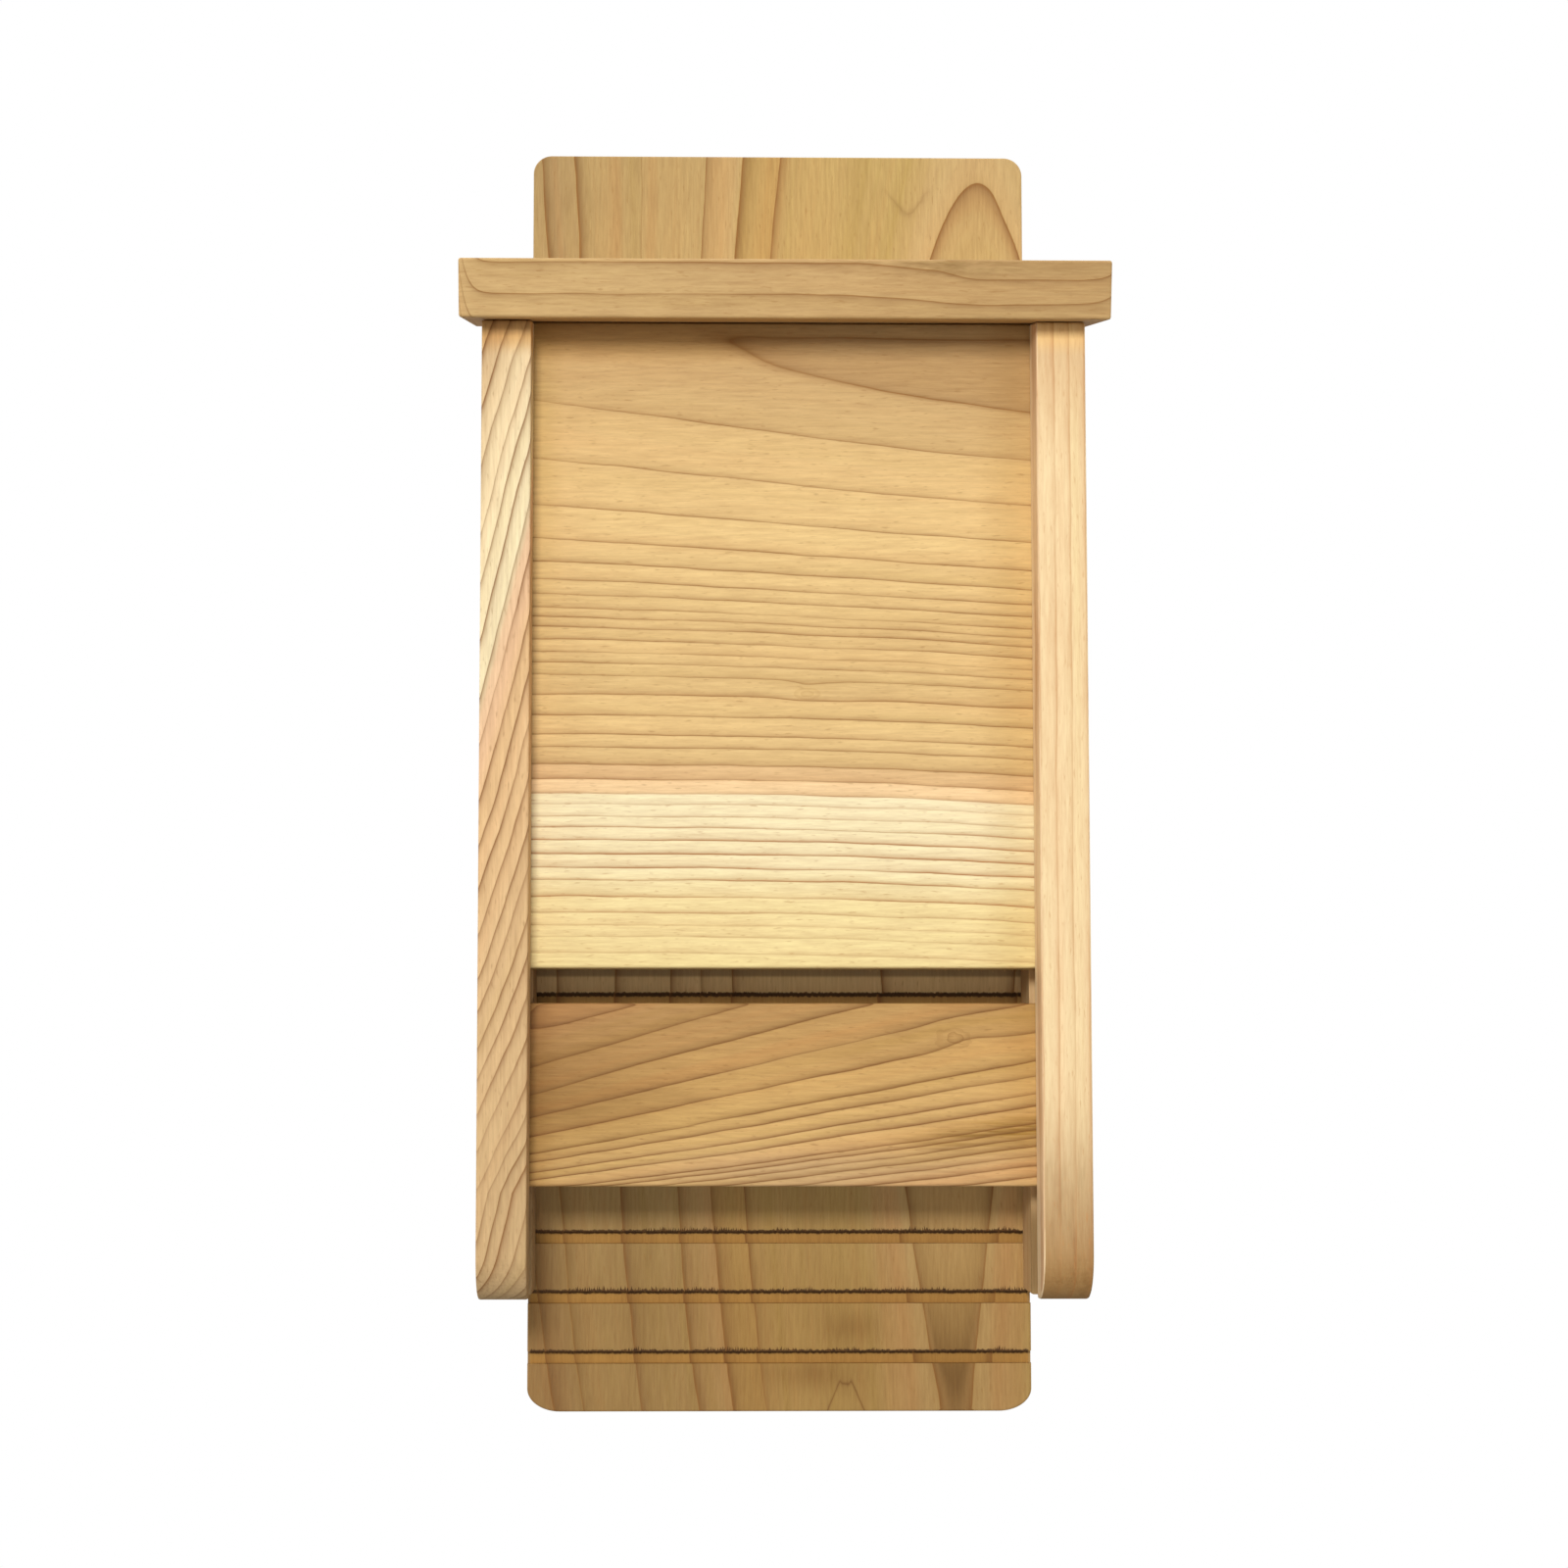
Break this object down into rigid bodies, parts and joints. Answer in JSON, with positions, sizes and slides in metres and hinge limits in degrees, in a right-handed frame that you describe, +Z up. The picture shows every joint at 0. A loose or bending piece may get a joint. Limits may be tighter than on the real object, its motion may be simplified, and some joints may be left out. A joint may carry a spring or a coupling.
{
  "type": "bat box",
  "caption": "Wall-hung wooden bat box: grooved back board, side panels, two front boards with a vent slot between them, and a sloping roof.",
  "frame": {"origin": "middle of the back board's rear face, which lies flat against the wall", "axes": "+Z up the wall, +Y into the wall, so the front of the box faces -Y, and +X to the right as seen from the front"},
  "size_m": [0.247, 0.1055, 0.508],
  "materials": {
    "back_wood": "bare cedar, tan, sawn, with vertical grain",
    "side_wood": "bare cedar, pale cream, planed",
    "front_wood": "bare cedar, honey, planed, with level grain",
    "lower_front_wood": "bare cedar, orange tan, planed",
    "roof_wood": "bare cedar, tan, planed",
    "nail_steel": "dull zinc-coated"
  },
  "bodies": {
    "root": {"back_board": "back_wood", "left_side_panel": "side_wood", "right_side_panel": "side_wood", "upper_front_board": "front_wood", "lower_front_board": "lower_front_wood", "roof_board": "roof_wood", "left_back_nail_1": "nail_steel", "left_back_nail_2": "nail_steel", "left_back_nail_3": "nail_steel", "left_back_nail_4": "nail_steel", "left_upper_front_nail_1": "nail_steel", "left_upper_front_nail_2": "nail_steel", "left_upper_front_nail_3": "nail_steel", "left_lower_front_nail_1": "nail_steel", "left_lower_front_nail_2": "nail_steel", "right_back_nail_1": "nail_steel", "right_back_nail_2": "nail_steel", "right_back_nail_3": "nail_steel", "right_back_nail_4": "nail_steel", "right_upper_front_nail_1": "nail_steel", "right_upper_front_nail_2": "nail_steel", "right_upper_front_nail_3": "nail_steel", "right_lower_front_nail_1": "nail_steel", "right_lower_front_nail_2": "nail_steel", "roof_left_nail_1": "nail_steel", "roof_left_nail_2": "nail_steel", "roof_front_nail_left": "nail_steel", "roof_right_nail_1": "nail_steel", "roof_right_nail_2": "nail_steel", "roof_front_nail_right": "nail_steel"}
  },
  "joints": []
}
